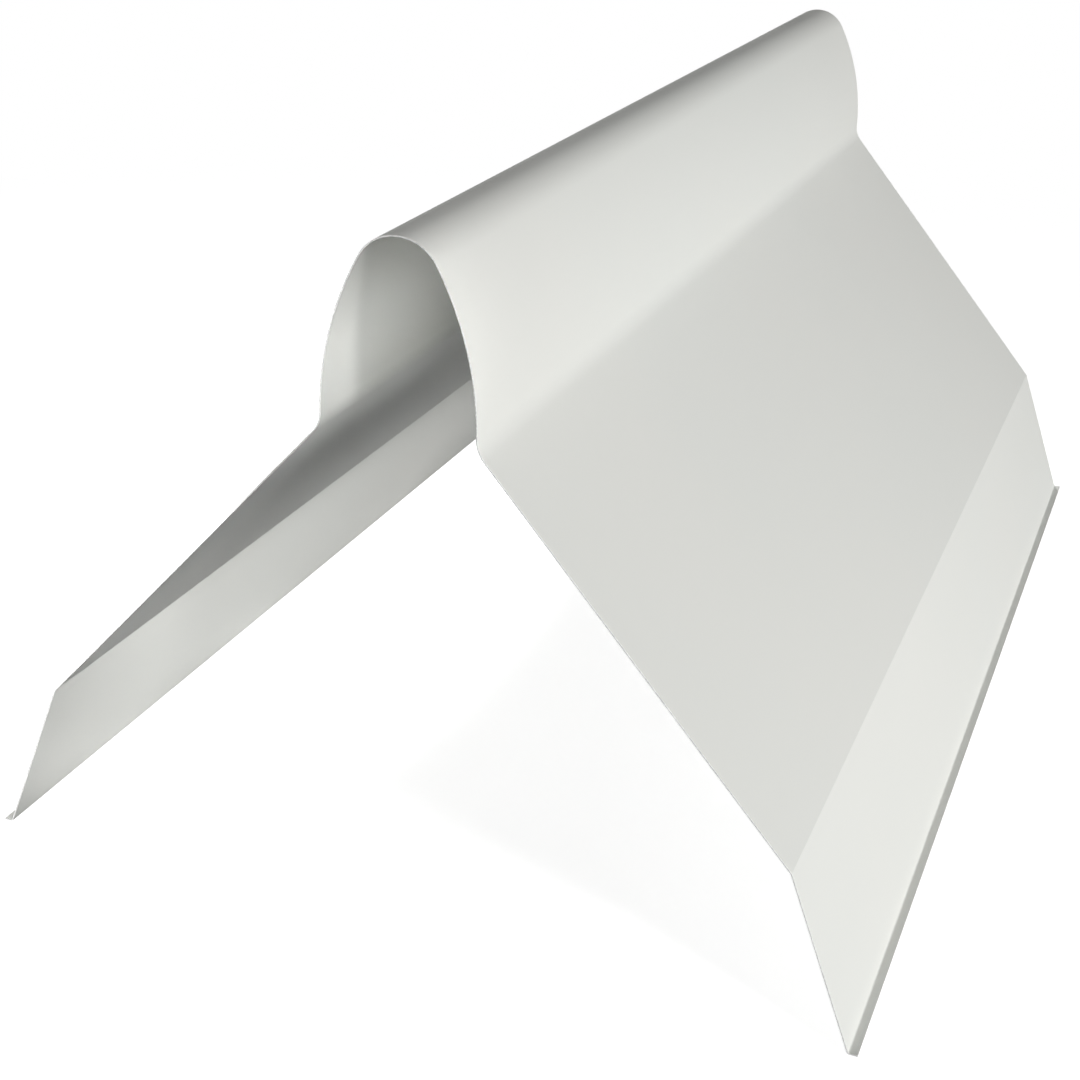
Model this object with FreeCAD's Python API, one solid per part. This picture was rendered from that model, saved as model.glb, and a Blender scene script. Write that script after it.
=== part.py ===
import FreeCAD, Part
import os
from math import cos, radians, sin

from FreeCAD import Vector

# Ridge cap: one strip of painted steel sheet, folded to a section that is the same all along the ridge.
# X runs across the ridge, Y along it and Z up. The origin is on the ground plane, midway between the two lips.

# Driving dimensions, in millimetres and degrees.
# Widths of flat stretches run from bend to bend, and radii are at the middle of the sheet.
SHEET_THICKNESS = 0.5
CAP_LENGTH = 490.0
ROLL_WIDTH = 50.0
CROWN_RADIUS = 14.0
CROWN_HALF_ANGLE = 60.5
NECK_SLOPE = 90.0
ROOT_RADIUS = 10.0
WING_WIDTH = 150.0
WING_SLOPE = 48.0
FLANGE_WIDTH = 62.0
FLANGE_SLOPE = 68.5
LIP_WIDTH = 2.5
LIP_SLOPE = 0.0
FOLD_RADIUS = 1.0

# The roll's flank is the arc that takes up the width left beside the crown, tangent to it and to the neck.
CROWN_REACH = CROWN_RADIUS * sin(radians(CROWN_HALF_ANGLE))
FLANK_RADIUS = (ROLL_WIDTH / 2 - CROWN_REACH) / (sin(radians(NECK_SLOPE)) - sin(radians(CROWN_HALF_ANGLE)))


def flat(width):
    """A flat stretch of the sheet."""
    return {"width": width, "radius": 0.0, "turn": 0.0}


def bend(radius, slope_before, slope_after):
    """A round stretch of the sheet between two slopes, each given in degrees below level."""
    return {"width": 0.0, "radius": radius, "turn": slope_after - slope_before}


def section_stretches():
    """The sheet's stretches from the left lip, over the roll, to the right lip."""
    right_side = [
        bend(FLANK_RADIUS, CROWN_HALF_ANGLE, NECK_SLOPE),
        bend(ROOT_RADIUS, NECK_SLOPE, WING_SLOPE),
        flat(WING_WIDTH),
        bend(FOLD_RADIUS, WING_SLOPE, FLANGE_SLOPE),
        flat(FLANGE_WIDTH),
        bend(FOLD_RADIUS, FLANGE_SLOPE, LIP_SLOPE),
        flat(LIP_WIDTH),
    ]
    crown = bend(CROWN_RADIUS, -CROWN_HALF_ANGLE, CROWN_HALF_ANGLE)
    return right_side[::-1] + [crown] + right_side


def heading(slope):
    return Vector(cos(radians(slope)), 0, -sin(radians(slope)))


def outward(slope):
    """The direction square to the sheet, towards the weather side."""
    return Vector(sin(radians(slope)), 0, cos(radians(slope)))


def parallel_edges(stretches, start, offset):
    """Edges of the line that runs beside the sheet's middle line, at an offset towards the weather side."""
    edges = []
    point = start
    slope = -LIP_SLOPE
    for stretch in stretches:
        first = point + outward(slope) * offset
        if stretch["turn"] == 0:
            point = point + heading(slope) * stretch["width"]
            edges.append(Part.LineSegment(first, point + outward(slope) * offset).toShape())
            continue
        # A bend that steepens the slope has its centre under the sheet, and one that flattens it above.
        signed_radius = stretch["radius"] if stretch["turn"] > 0 else -stretch["radius"]
        centre = point - outward(slope) * signed_radius
        reach = signed_radius + offset
        middle = centre + outward(slope + stretch["turn"] / 2) * reach
        slope = slope + stretch["turn"]
        point = centre + outward(slope) * signed_radius
        edges.append(Part.Arc(first, middle, centre + outward(slope) * reach).toShape())
    return edges


def end_of(edge):
    return edge.Vertexes[-1].Point


def start_of(edge):
    return edge.Vertexes[0].Point


def section_face():
    """The folded sheet's cross-section, in the plane of one end, standing on its lips' undersides."""
    stretches = section_stretches()
    half = SHEET_THICKNESS / 2
    weather_side = parallel_edges(stretches, Vector(0, 0, 0), half)
    roof_side = parallel_edges(stretches, Vector(0, 0, 0), -half)
    left_edge = Part.LineSegment(start_of(roof_side[0]), start_of(weather_side[0])).toShape()
    right_edge = Part.LineSegment(end_of(weather_side[-1]), end_of(roof_side[-1])).toShape()
    outline = Part.Wire(Part.__sortEdges__(weather_side + [right_edge] + roof_side + [left_edge]))
    face = Part.Face(outline)
    box = face.BoundBox
    face.translate(Vector(-(box.XMin + box.XMax) / 2, -CAP_LENGTH / 2, -box.ZMin))
    return face


def ridge_cap():
    return section_face().extrude(Vector(0, CAP_LENGTH, 0))


os.makedirs("parts", exist_ok=True)
ridge_cap().exportStep("parts/ridge_cap.step")
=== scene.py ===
from math import ceil, cos, radians, sin, sqrt

import bpy
from mathutils import Matrix, Vector


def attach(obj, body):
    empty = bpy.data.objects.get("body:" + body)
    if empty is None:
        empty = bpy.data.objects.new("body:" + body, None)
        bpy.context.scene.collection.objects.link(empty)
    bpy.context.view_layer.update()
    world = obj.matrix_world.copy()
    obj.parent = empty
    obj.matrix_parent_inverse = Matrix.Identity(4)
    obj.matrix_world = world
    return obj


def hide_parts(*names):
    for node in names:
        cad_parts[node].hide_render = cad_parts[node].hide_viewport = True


# Ridge cap of painted steel sheet, folded to one section all along the ridge.
# Metres. X runs across the ridge, Y along it and Z up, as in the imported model.

# Sizes of the folded sheet: radii are at the middle of the sheet, and slopes are below the horizontal.
SHEET_THICKNESS = 0.0005
CAP_LENGTH = 0.49
ROLL_WIDTH = 0.05
CROWN_RADIUS = 0.014
CROWN_HALF_ANGLE = radians(60.5)
NECK_SLOPE = radians(90.0)
ROOT_RADIUS = 0.01
WING_WIDTH = 0.15
WING_SLOPE = radians(48.0)
FLANGE_WIDTH = 0.062
FLANGE_SLOPE = radians(68.5)
LIP_WIDTH = 0.0025
LIP_SLOPE = 0.0
FOLD_RADIUS = 0.001
CROWN_REACH = CROWN_RADIUS * sin(CROWN_HALF_ANGLE)
FLANK_RADIUS = (ROLL_WIDTH / 2 - CROWN_REACH) / (sin(NECK_SLOPE) - sin(CROWN_HALF_ANGLE))
# The shears leave the corners of the cut edges slightly broken.
EDGE_BREAK = 0.00012

# Mesh steps: the turn of one facet in a bend, and the longest facet on the flats and along the length.
BEND_STEP = radians(2.5)
FLAT_STEP = 0.012
LENGTH_STEP = 0.012
# A length that is a whole number of steps, but for rounding, gets that number of steps.
STEP_ROUNDING = 1e-6
# Each cut edge of the section has two points of its own, between the sides' last points.
EDGE_POINTS = 2

# Paint. Colours are linear, a noise is its scale and detail, and depths are in metres.
PAINT_COOL = (0.856, 0.867, 0.83)
PAINT_WARM = (0.87, 0.874, 0.834)
PAINT_TINT_NOISE = (7.0, 3.0)
PAINT_SPECULAR = 0.09
PAINT_ROUGHNESS = (0.57, 0.66)
PAINT_SHEEN_NOISE = (16.0, 4.0)
ROLLING_NOISE = (420.0, 1.0)
ROLLING_STRETCH = 80.0
ROLLING_DEPTH = 0.000002
SKIN_NOISE = (750.0, 2.0)
SKIN_DEPTH = 0.000004

# Sheared edge.
ZINC_BRIGHT = (0.68, 0.68, 0.67)
ZINC_DULL = (0.55, 0.55, 0.545)
ZINC_METALLIC = 0.68
ZINC_ROUGHNESS = (0.5, 0.66)
ZINC_SHEEN_NOISE = (300.0, 2.0)
SHEAR_NOISE = (1500.0, 3.0)
SHEAR_DEPTH = 0.00001

# Stretches of a noise over which a colour and a roughness go from their first value to their second.
TINT_SPAN = (0.35, 0.65)
SHEEN_SPAN = (0.3, 0.7)

# Camera at the photograph's viewing angle. Lens and sensor are in millimetres.
CAMERA_PLACE = (0.21245, -0.68624, 0.36617)
CAMERA_TURN = radians(20.73)
CAMERA_DOWN = radians(24.63)
CAMERA_ROLL = radians(2.2)
CAMERA_LENS = 60.38
CAMERA_SENSOR = 36.0
CAMERA_CLIP_START = 0.01
# A camera with no turn looks straight down, and this turn makes it level.
LEVEL_TURN = radians(90.0)

# Soft studio lamps round the cap, aimed at its middle.
MIDDLE = (0.0, 0.0, 0.1)
LAMPS = {
    "key_front_right": dict(place=(1.31, -0.95, 1.275), width=0.3, height=0.3, watts=12.4),
    "low_right": dict(place=(2.5, -0.17, 0.06), width=0.14, height=0.1, watts=27.0),
    "near_right": dict(place=(0.8, -0.17, 0.06), width=0.14, height=0.12, watts=0.65),
    "low_left": dict(place=(-1.0, 0.05, 0.04), width=0.6, height=0.06, watts=5.3),
    "high_left": dict(place=(-1.53, 0.0, 1.39), width=0.4, height=0.4, watts=3.0),
}
# Fill spots that light the underside through the open ends: places, bulb radii, watts and beams in degrees.
FILLS = {
    "inside_fill": dict(
        place=(0.1, -0.9, 0.3), aim=(-0.147, -0.113, -0.033), bulb=0.015, watts=79.0, beam=8.3
    ),
    "deep_fill": dict(
        place=(0.06, -0.85, 0.257), aim=(-0.142, 0.081, -0.004), bulb=0.015, watts=106.0, beam=11.8
    ),
    "far_fill": dict(
        place=(0.06, 0.9, 0.25), aim=(-0.142, 0.05, 0.035), bulb=0.015, watts=17.5, beam=10.0
    ),
    "back_fill": dict(
        place=(-0.16, 0.9, 0.2), aim=(0.147, 0.11, 0.018), bulb=0.05, watts=31.0, beam=21.4
    ),
    "roll_fill": dict(
        place=(0.29, -0.91, 0.26), aim=(-0.024, -0.236, 0.196), bulb=0.03, watts=45.0, beam=5.2
    ),
}
# Share of a fill's beam over which its light fades towards the edge.
FILL_FADE = 1.0

# The white that the camera sees around the object, and the little light that it gives.
WHITE_STRENGTH = 1.0
AMBIENT_STRENGTH = 0.02
FLOOR_SIZE = 12.0
FLOOR_DROP = 0.0002
FLOOR_REFLECTANCE = 0.12
# Near the cap the floor is seen as this glow and this matt shade. It fades to white between these radii.
FLOOR_GLOW = 0.88
FLOOR_SHADE = 0.8
FLOOR_FADE = (0.45, 0.9)


# Shape of the folded sheet

def heading(slope):
    """Direction in which the section goes on, from left to right, where it has this slope."""
    return Vector((cos(slope), 0.0, -sin(slope)))


def outward(slope):
    """Direction out of the upper side of the sheet where it has this slope."""
    return Vector((sin(slope), 0.0, cos(slope)))


def shares(length, longest):
    """Ends of equal steps along a length, as shares of it, with no step longer than the longest."""
    count = max(1, ceil(length / longest - STEP_ROUNDING))
    return [(k + 1) / count for k in range(count)]


def bend_stations(place, radius, slope_before, slope_after):
    """Places and slopes along the middle of one bend, which begins at place."""
    side = 1 if slope_after > slope_before else -1
    centre = place - side * radius * outward(slope_before)
    turn = slope_after - slope_before
    slopes = [slope_before + turn * share for share in shares(abs(turn), BEND_STEP)]
    return [(centre + side * radius * outward(slope), slope) for slope in slopes]


def flat_stations(place, width, slope):
    """Places and slopes along the middle of one flat, which begins at place."""
    return [(place + heading(slope) * width * share, slope) for share in shares(width, FLAT_STEP)]


def right_half():
    """Places and slopes along the middle of the sheet, from the crown's top to the right lip's edge."""
    steps = [
        (bend_stations, CROWN_RADIUS, 0.0, CROWN_HALF_ANGLE),
        (bend_stations, FLANK_RADIUS, CROWN_HALF_ANGLE, NECK_SLOPE),
        (bend_stations, ROOT_RADIUS, NECK_SLOPE, WING_SLOPE),
        (flat_stations, WING_WIDTH, WING_SLOPE),
        (bend_stations, FOLD_RADIUS, WING_SLOPE, FLANGE_SLOPE),
        (flat_stations, FLANGE_WIDTH, FLANGE_SLOPE),
        (bend_stations, FOLD_RADIUS, FLANGE_SLOPE, LIP_SLOPE),
        (flat_stations, LIP_WIDTH, LIP_SLOPE),
    ]
    stations = [(Vector((0.0, 0.0, 0.0)), 0.0)]
    for stations_of, *sizes in steps:
        last_place = stations[-1][0]
        stations += stations_of(last_place, *sizes)
    return stations


def whole_section():
    """Places and slopes from the left lip's edge to the right lip's, with the lips at zero height."""
    right = right_half()
    lift = Vector((0.0, 0.0, SHEET_THICKNESS / 2 - right[-1][0].z))
    left = [(Vector((-place.x, 0.0, place.z)), -slope) for place, slope in right[:0:-1]]
    return [(place + lift, slope) for place, slope in left + right]


def section_loop(section, inset):
    """Closed outline of the section, inset all round: upper side, right edge, lower side, left edge."""
    half = SHEET_THICKNESS / 2
    corner = EDGE_BREAK + (sqrt(2) - 1) * inset
    upper = [place + outward(slope) * (half - inset) for place, slope in section]
    lower = [place - outward(slope) * (half - inset) for place, slope in section]
    for side in (upper, lower):
        side[0] += heading(section[0][1]) * corner
        side[-1] -= heading(section[-1][1]) * corner
    left_tip = section[0][0] + heading(section[0][1]) * inset
    right_tip = section[-1][0] - heading(section[-1][1]) * inset
    left_rise = outward(section[0][1]) * (half - corner)
    right_rise = outward(section[-1][1]) * (half - corner)
    right_edge = [right_tip + right_rise, right_tip - right_rise]
    left_edge = [left_tip - left_rise, left_tip + left_rise]
    return upper + right_edge + lower[::-1] + left_edge


def length_rows():
    """Place along the ridge and inset of each row of vertices. The insets break the corners of the ends."""
    end = CAP_LENGTH / 2
    inner = end - EDGE_BREAK
    middle = [(2 * inner * share - inner, 0.0) for share in shares(2 * inner, LENGTH_STEP)]
    return [(-end, EDGE_BREAK), (-inner, 0.0)] + middle + [(end, EDGE_BREAK)]


def end_faces(stations):
    """Faces of the far end, by place in its row: one for each step of the section, and its two edges."""
    right_edge = stations
    lower_start = stations + EDGE_POINTS
    lower_end = lower_start + stations - 1
    faces = [(k, k + 1, lower_end - k - 1, lower_end - k) for k in range(stations - 1)]
    faces.append((right_edge - 1, right_edge, right_edge + 1, lower_start))
    faces.append((lower_end, lower_end + 1, lower_end + 2, 0))
    return faces


def cap_faces(stations, rows):
    """Faces of the closed sheet, painted ones first, and the count of those."""
    ring = 2 * (stations + EDGE_POINTS)
    lower_start = stations + EDGE_POINTS
    lower_end = lower_start + stations - 1
    painted = []
    bare = []
    for row in range(rows - 1):
        near = row * ring
        far = near + ring
        # The first and last bands are the broken corners of the cut ends.
        between_ends = 0 < row < rows - 2
        for k in range(ring):
            after = (k + 1) % ring
            on_a_side = k < stations - 1 or lower_start <= k < lower_end
            faces = painted if on_a_side and between_ends else bare
            faces.append((near + k, near + after, far + after, far + k))
    end = end_faces(stations)
    last = (rows - 1) * ring
    bare += [face[::-1] for face in end]
    bare += [tuple(last + k for k in face) for face in end]
    return painted + bare, len(painted)


def build_cap(paint, cut_edge):
    """The folded sheet as one closed mesh, painted on both sides and bare at its cut edges."""
    section = whole_section()
    rows = length_rows()
    loops = {inset: section_loop(section, inset) for inset in (0.0, EDGE_BREAK)}
    vertices = [(point.x, y, point.z) for y, inset in rows for point in loops[inset]]
    faces, painted = cap_faces(len(section), len(rows))

    mesh = bpy.data.meshes.new("ridge_cap_sheet")
    mesh.from_pydata(vertices, [], faces)
    mesh.materials.append(paint)
    mesh.materials.append(cut_edge)
    # Painted faces are shaded as the true curve of the bends, and cut edges as flat facets.
    upper = [outward(slope) for _, slope in section]
    lower = [-normal for normal in reversed(upper)]
    edge = [None] * EDGE_POINTS
    ring_normals = upper + edge + lower + edge
    normals = []
    for polygon in mesh.polygons:
        polygon.use_smooth = True
        polygon.material_index = 0 if polygon.index < painted else 1
        for vertex in polygon.vertices:
            curved = ring_normals[vertex % len(ring_normals)]
            normals.append(curved if polygon.index < painted else polygon.normal.copy())
    mesh.normals_split_custom_set(normals)
    mesh.update()
    return add_object("ridge_cap_sheet", mesh)


def add_object(name, data):
    """A new object of the scene with this mesh, lamp or camera."""
    thing = bpy.data.objects.new(name, data)
    bpy.context.scene.collection.objects.link(thing)
    return thing


# Materials

def new_material(name):
    """A material with no nodes yet."""
    material = bpy.data.materials.new(name)
    material.use_nodes = True
    material.node_tree.nodes.clear()
    return material


def add_node(tree, kind, **settings):
    """A node with its settings, where a setting named after an input socket goes to that socket."""
    node = tree.nodes.new("ShaderNode" + kind)
    for name, value in settings.items():
        if hasattr(node, name):
            setattr(node, name, value)
        else:
            node.inputs[name.replace("_", " ")].default_value = value
    return node


def join(tree, source, socket, target, into):
    """A link from a socket of the source into one of the target."""
    tree.links.new(source.outputs[socket], target.inputs[into])


def grey(level):
    """An opaque colour with no tint."""
    return (level, level, level, 1.0)


def noise(tree, place, scale, detail, stretch=None):
    """Soft noise over the object's own coordinates, drawn out along the ridge where a stretch is given."""
    node = add_node(tree, "TexNoise", Scale=scale, Detail=detail)
    if stretch is None:
        join(tree, place, "Object", node, "Vector")
        return node
    mapping = add_node(tree, "Mapping", Scale=(1.0, 1.0 / stretch, 1.0))
    join(tree, place, "Object", mapping, "Vector")
    join(tree, mapping, "Vector", node, "Vector")
    return node


def colour_ramp(tree, source, low, high):
    """A colour that follows a noise from the low colour to the high one."""
    ramp = add_node(tree, "ValToRGB")
    for element, position, colour in zip(ramp.color_ramp.elements, TINT_SPAN, (low, high)):
        element.position = position
        element.color = (*colour, 1.0)
    join(tree, source, "Fac", ramp, "Fac")
    return ramp


def value_range(tree, source, low, high):
    """A value that follows a noise from low to high."""
    start, end = SHEEN_SPAN
    spread = add_node(tree, "MapRange", From_Min=start, From_Max=end, To_Min=low, To_Max=high)
    join(tree, source, "Fac", spread, "Value")
    return spread


def bump(tree, source, depth, under=None):
    """A surface that follows a noise to this depth, on top of the bump under it where one is given."""
    node = add_node(tree, "Bump", Strength=1.0, Distance=depth)
    join(tree, source, "Fac", node, "Height")
    if under is not None:
        join(tree, under, "Normal", node, "Normal")
    return node


def finish_material(tree, shader):
    """Shows the shader on the surface."""
    output = add_node(tree, "OutputMaterial")
    tree.links.new(shader.outputs[0], output.inputs["Surface"])


def paint_material():
    """Off-white baked enamel of a coated coil: satin, with a fine skin and faint lines along the ridge."""
    material = new_material("coil_paint")
    tree = material.node_tree
    place = add_node(tree, "TexCoord")
    shader = add_node(tree, "BsdfPrincipled", Specular_IOR_Level=PAINT_SPECULAR)
    tint = colour_ramp(tree, noise(tree, place, *PAINT_TINT_NOISE), PAINT_COOL, PAINT_WARM)
    join(tree, tint, "Color", shader, "Base Color")
    sheen = value_range(tree, noise(tree, place, *PAINT_SHEEN_NOISE), *PAINT_ROUGHNESS)
    join(tree, sheen, "Result", shader, "Roughness")
    rolling_lines = bump(tree, noise(tree, place, *ROLLING_NOISE, stretch=ROLLING_STRETCH), ROLLING_DEPTH)
    skin = bump(tree, noise(tree, place, *SKIN_NOISE), SKIN_DEPTH, rolling_lines)
    join(tree, skin, "Normal", shader, "Normal")
    finish_material(tree, shader)
    return material


def cut_edge_material():
    """Sheared edge of zinc-coated steel: bare metal with the shear's fine marks."""
    material = new_material("sheared_zinc")
    tree = material.node_tree
    place = add_node(tree, "TexCoord")
    shader = add_node(tree, "BsdfPrincipled", Metallic=ZINC_METALLIC)
    marks = noise(tree, place, *SHEAR_NOISE)
    tint = colour_ramp(tree, marks, ZINC_DULL, ZINC_BRIGHT)
    join(tree, tint, "Color", shader, "Base Color")
    sheen = value_range(tree, noise(tree, place, *ZINC_SHEEN_NOISE), *ZINC_ROUGHNESS)
    join(tree, sheen, "Result", shader, "Roughness")
    join(tree, bump(tree, marks, SHEAR_DEPTH), "Normal", shader, "Normal")
    finish_material(tree, shader)
    return material


def seen_directly(tree):
    """1 for what is seen, plainly, mirrored or through glass, and 0 for light that falls on things."""
    path = add_node(tree, "LightPath")
    mirrored = add_node(tree, "Math", operation="MAXIMUM")
    join(tree, path, "Is Glossy Ray", mirrored, 0)
    join(tree, path, "Is Transmission Ray", mirrored, 1)
    seen = add_node(tree, "Math", operation="MAXIMUM")
    join(tree, path, "Is Camera Ray", seen, 0)
    join(tree, mirrored, "Value", seen, 1)
    return seen


def mix_by(tree, factor, socket, first, second):
    """The first shader where the factor is 0, and the second where it is 1."""
    mix = add_node(tree, "MixShader")
    join(tree, factor, socket, mix, "Fac")
    tree.links.new(first.outputs[0], mix.inputs[1])
    tree.links.new(second.outputs[0], mix.inputs[2])
    return mix


def floor_material():
    """White studio floor: it bounces light as a matt floor does, and is seen white with a pale shadow."""
    material = new_material("studio_floor")
    tree = material.node_tree
    matt = add_node(tree, "BsdfDiffuse", Color=grey(FLOOR_REFLECTANCE))
    shade = add_node(tree, "BsdfDiffuse", Color=grey(FLOOR_SHADE))
    glow = add_node(tree, "Emission", Strength=FLOOR_GLOW)
    shaded = add_node(tree, "AddShader")
    join(tree, glow, "Emission", shaded, 0)
    join(tree, shade, "BSDF", shaded, 1)
    place = add_node(tree, "TexCoord")
    radius = add_node(tree, "VectorMath", operation="LENGTH")
    join(tree, place, "Object", radius, 0)
    start, end = FLOOR_FADE
    away = add_node(tree, "MapRange", interpolation_type="SMOOTHSTEP", From_Min=start, From_Max=end)
    join(tree, radius, "Value", away, "Value")
    white = add_node(tree, "Emission", Strength=WHITE_STRENGTH)
    seen = mix_by(tree, away, "Result", shaded, white)
    finish_material(tree, mix_by(tree, seen_directly(tree), "Value", matt, seen))
    return material


# Studio

def build_floor():
    """A square floor just under the cap."""
    half = FLOOR_SIZE / 2
    corners = [(x, y, -FLOOR_DROP) for x, y in ((-half, -half), (half, -half), (half, half), (-half, half))]
    mesh = bpy.data.meshes.new("studio_floor")
    mesh.from_pydata(corners, [], [(0, 1, 2, 3)])
    mesh.materials.append(floor_material())
    return add_object("studio_floor", mesh)


def build_world():
    """Surroundings that are seen white and give only a little light."""
    world = bpy.data.worlds.new("studio")
    world.use_nodes = True
    tree = world.node_tree
    tree.nodes.clear()
    lit = add_node(tree, "Background", Color=grey(1.0), Strength=AMBIENT_STRENGTH)
    white = add_node(tree, "Background", Color=grey(1.0), Strength=WHITE_STRENGTH)
    mix = mix_by(tree, seen_directly(tree), "Value", lit, white)
    output = add_node(tree, "OutputWorld")
    join(tree, mix, "Shader", output, "Surface")
    bpy.context.scene.world = world


def aim_lamp(name, lamp, place, aim):
    """Puts a lamp in its place, out of the camera's sight."""
    thing = add_object(name, lamp)
    thing.location = place
    thing.rotation_euler = (Vector(aim) - Vector(place)).to_track_quat("-Z", "Y").to_euler()
    thing.visible_camera = False


def build_lamp(name, place, width, height, watts):
    """A soft rectangular lamp, aimed at the middle of the cap."""
    lamp = bpy.data.lights.new(name, "AREA")
    lamp.shape = "RECTANGLE"
    lamp.size = width
    lamp.size_y = height
    lamp.energy = watts
    aim_lamp(name, lamp, place, MIDDLE)


def build_fill(name, place, aim, bulb, watts, beam):
    """A spot that fades from the middle of its beam to the edge."""
    lamp = bpy.data.lights.new(name, "SPOT")
    lamp.shadow_soft_size = bulb
    lamp.energy = watts
    lamp.spot_size = radians(beam)
    lamp.spot_blend = FILL_FADE
    aim_lamp(name, lamp, place, aim)


def build_camera():
    """A camera at the photograph's viewing angle."""
    data = bpy.data.cameras.new("photo_camera")
    data.lens = CAMERA_LENS
    data.sensor_width = CAMERA_SENSOR
    data.clip_start = CAMERA_CLIP_START
    camera = add_object("photo_camera", data)
    turn = Matrix.Rotation(CAMERA_TURN, 4, "Z")
    down = Matrix.Rotation(LEVEL_TURN - CAMERA_DOWN, 4, "X")
    roll = Matrix.Rotation(CAMERA_ROLL, 4, "Z")
    camera.matrix_world = Matrix.Translation(CAMERA_PLACE) @ turn @ down @ roll
    bpy.context.scene.camera = camera


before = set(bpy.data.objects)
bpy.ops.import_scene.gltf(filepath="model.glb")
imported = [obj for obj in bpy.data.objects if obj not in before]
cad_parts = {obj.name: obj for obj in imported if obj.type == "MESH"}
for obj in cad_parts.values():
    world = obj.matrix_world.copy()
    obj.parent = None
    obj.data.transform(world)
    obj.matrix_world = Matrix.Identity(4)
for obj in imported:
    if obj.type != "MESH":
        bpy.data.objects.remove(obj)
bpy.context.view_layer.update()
bpy.context.scene.view_settings.view_transform = "Standard"

cap = build_cap(paint_material(), cut_edge_material())
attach(cap, "root")
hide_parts("ridge_cap")

build_floor()
build_world()
for lamp_name, lamp_facts in LAMPS.items():
    build_lamp(lamp_name, **lamp_facts)
for lamp_name, lamp_facts in FILLS.items():
    build_fill(lamp_name, **lamp_facts)
build_camera()
